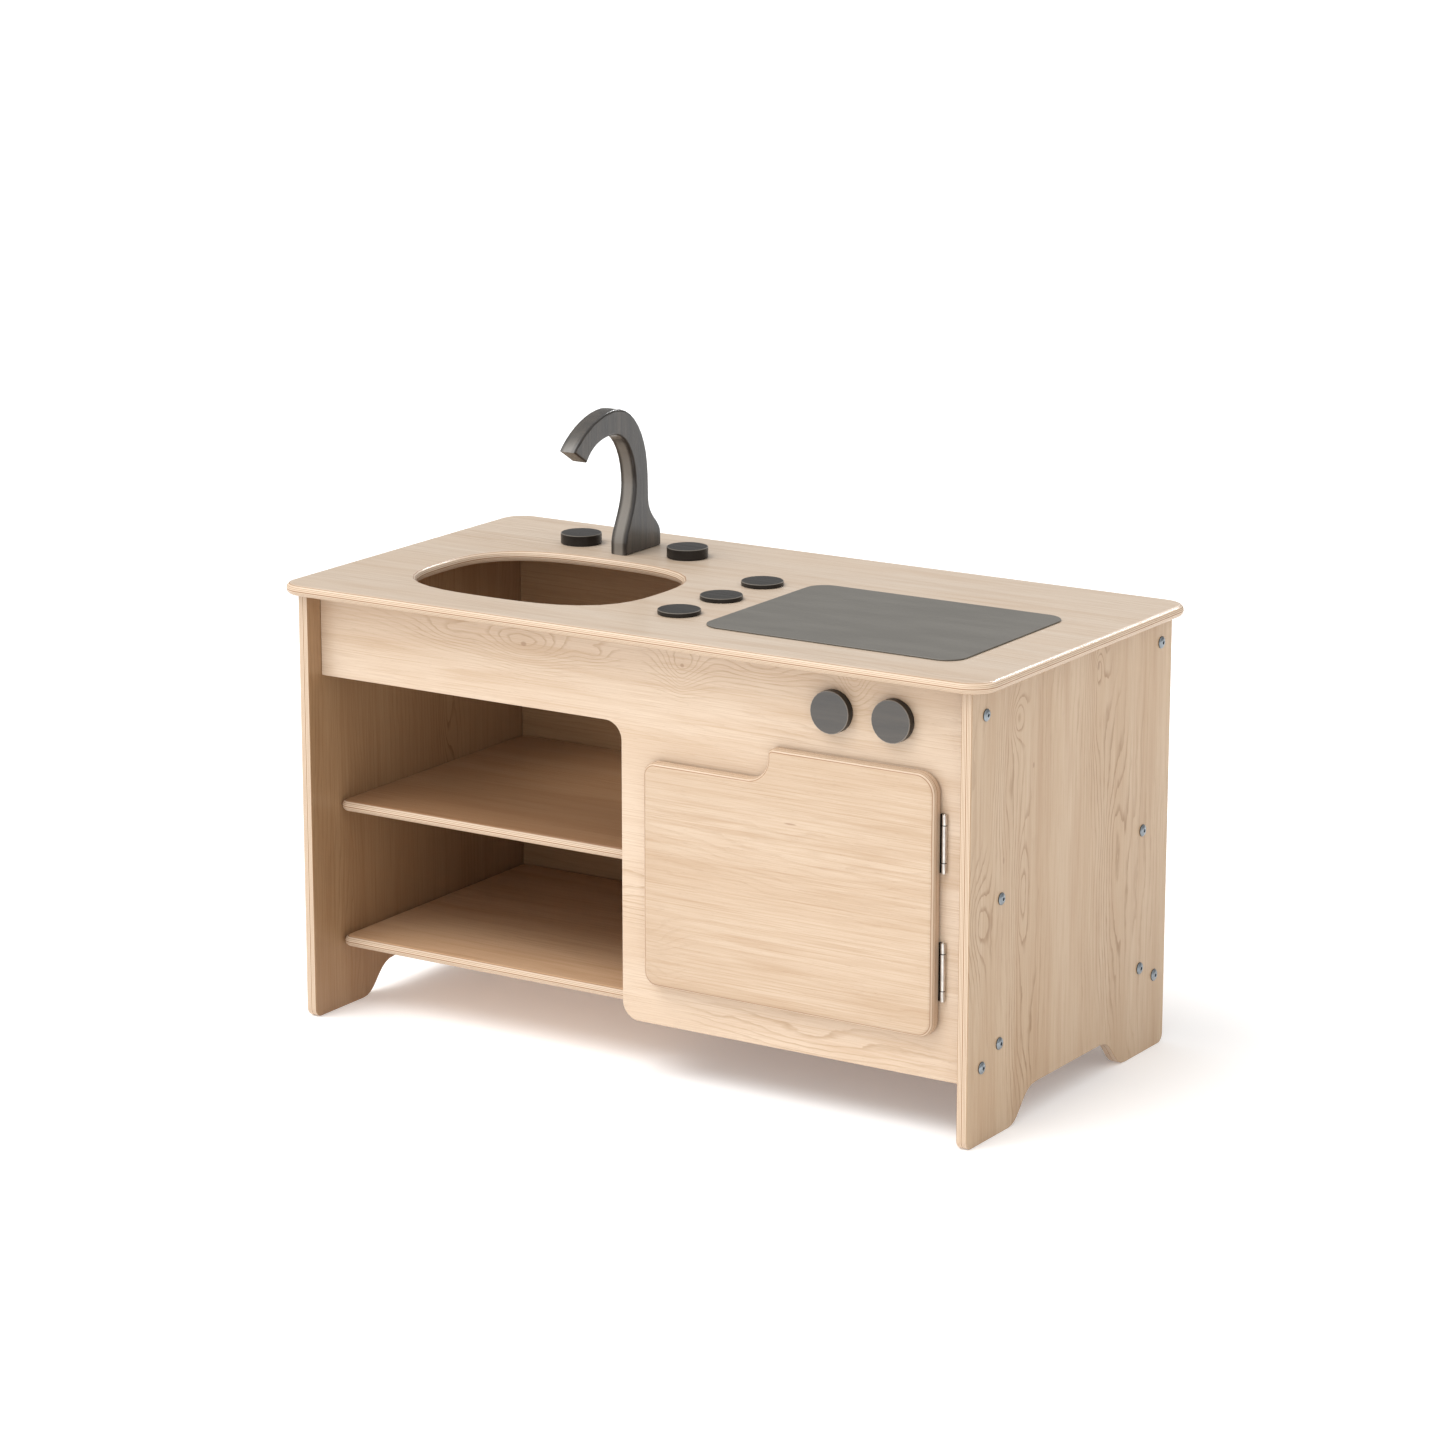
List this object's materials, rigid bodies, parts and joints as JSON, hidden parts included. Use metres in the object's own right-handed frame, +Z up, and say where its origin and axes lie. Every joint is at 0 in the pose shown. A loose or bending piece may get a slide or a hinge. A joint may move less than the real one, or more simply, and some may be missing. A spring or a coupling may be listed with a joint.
{
  "type": "toy kitchen",
  "caption": "Low plywood play kitchen with a sink cut-out, wooden faucet, turning knobs, hob plate, open shelf bay and an oven behind a hinged door with a stepped top edge.",
  "frame": {"origin": "on the floor, under the middle of the worktop's plan", "axes": "+X along the width towards the oven side, +Y from the front to the back, +Z up"},
  "size_m": [0.871, 0.449, 0.6523],
  "materials": {
    "worktop_ply": "oiled birch plywood, grain along the width, rounded edges showing the plies",
    "front_ply": "oiled birch plywood, horizontal grain with a few swirls",
    "side_ply": "oiled birch plywood, vertical grain with small knots",
    "inner_ply": "oiled birch plywood, plain grain",
    "hob_grey": "satin dark grey",
    "faucet_wood": "graphite-stained wood, semi-gloss",
    "knob_wood": "graphite-stained wood, semi-gloss",
    "beech": "plain beech dowel",
    "zinc": "bluish zinc plating",
    "spindle_steel": "plain steel",
    "hinge_steel": "bright nickel-like steel"
  },
  "bodies": {
    "cabinet": {"worktop": "worktop_ply", "left_side": "side_ply", "right_side": "side_ply", "front_panel": "front_ply", "back_panel": "inner_ply", "divider": "inner_ply", "lower_shelf": "inner_ply", "upper_shelf": "inner_ply", "oven_floor": "inner_ply", "oven_rack": "inner_ply", "hob_plate": "hob_grey", "faucet": "faucet_wood", "left_side_screw_apron": "zinc", "left_side_screw_back_high": "zinc", "left_side_screw_back_low": "zinc", "left_side_screw_lower_shelf_front": "zinc", "left_side_screw_lower_shelf_back": "zinc", "left_side_screw_upper_shelf_front": "zinc", "left_side_screw_upper_shelf_back": "zinc", "right_side_screw_apron": "zinc", "right_side_screw_front_low": "zinc", "right_side_screw_back_high": "zinc", "right_side_screw_back_low": "zinc", "right_side_screw_oven_floor_front": "zinc", "right_side_screw_oven_floor_back": "zinc", "right_side_screw_oven_rack_front": "zinc", "right_side_screw_oven_rack_back": "zinc", "left_side_top_dowel_front": "beech", "left_side_top_dowel_back": "beech", "right_side_top_dowel_front": "beech", "right_side_top_dowel_back": "beech", "upper_hinge_frame_leaf": "hinge_steel", "upper_hinge_pin": "hinge_steel", "upper_hinge_frame_screw_low": "hinge_steel", "upper_hinge_frame_screw_high": "hinge_steel", "lower_hinge_frame_leaf": "hinge_steel", "lower_hinge_pin": "hinge_steel", "lower_hinge_frame_screw_low": "hinge_steel", "lower_hinge_frame_screw_high": "hinge_steel"},
    "door": {"oven_door": "front_ply", "upper_hinge_door_leaf": "hinge_steel", "upper_hinge_door_screw_low": "hinge_steel", "upper_hinge_door_screw_high": "hinge_steel", "lower_hinge_door_leaf": "hinge_steel", "lower_hinge_door_screw_low": "hinge_steel", "lower_hinge_door_screw_high": "hinge_steel"},
    "tap_knob_left_set": {"tap_knob_left": "knob_wood", "tap_knob_left_spindle": "spindle_steel"},
    "tap_knob_right_set": {"tap_knob_right": "knob_wood", "tap_knob_right_spindle": "spindle_steel"},
    "burner_knob_front_set": {"burner_knob_front": "knob_wood", "burner_knob_front_spindle": "spindle_steel"},
    "burner_knob_middle_set": {"burner_knob_middle": "knob_wood", "burner_knob_middle_spindle": "spindle_steel"},
    "burner_knob_back_set": {"burner_knob_back": "knob_wood", "burner_knob_back_spindle": "spindle_steel"},
    "oven_knob_left_set": {"oven_knob_left": "knob_wood", "oven_knob_left_spindle": "spindle_steel"},
    "oven_knob_right_set": {"oven_knob_right": "knob_wood", "oven_knob_right_spindle": "spindle_steel"}
  },
  "joints": [
    {"name": "door_hinge", "type": "hinge", "parent": "cabinet", "child": "door", "pos_m": [0.3744, -0.1914, 0.24315], "axis": [0, 0, 1], "range_deg": [0, 110]},
    {"name": "tap_knob_left_turn", "type": "hinge", "parent": "cabinet", "child": "tap_knob_left_set", "pos_m": [-0.277, 0.126, 0.492], "axis": [0, 0, 1], "continuous": true},
    {"name": "tap_knob_right_turn", "type": "hinge", "parent": "cabinet", "child": "tap_knob_right_set", "pos_m": [-0.136, 0.126, 0.492], "axis": [0, 0, 1], "continuous": true},
    {"name": "burner_knob_front_turn", "type": "hinge", "parent": "cabinet", "child": "burner_knob_front_set", "pos_m": [0.0095, -0.114, 0.489], "axis": [0, 0, 1], "continuous": true},
    {"name": "burner_knob_middle_turn", "type": "hinge", "parent": "cabinet", "child": "burner_knob_middle_set", "pos_m": [0.0095, -0.0325, 0.489], "axis": [0, 0, 1], "continuous": true},
    {"name": "burner_knob_back_turn", "type": "hinge", "parent": "cabinet", "child": "burner_knob_back_set", "pos_m": [0.0095, 0.049, 0.489], "axis": [0, 0, 1], "continuous": true},
    {"name": "oven_knob_left_turn", "type": "hinge", "parent": "cabinet", "child": "oven_knob_left_set", "pos_m": [0.24355, -0.1935, 0.4288], "axis": [0, -1, 0], "continuous": true},
    {"name": "oven_knob_right_turn", "type": "hinge", "parent": "cabinet", "child": "oven_knob_right_set", "pos_m": [0.31485, -0.1935, 0.4288], "axis": [0, -1, 0], "continuous": true}
  ]
}
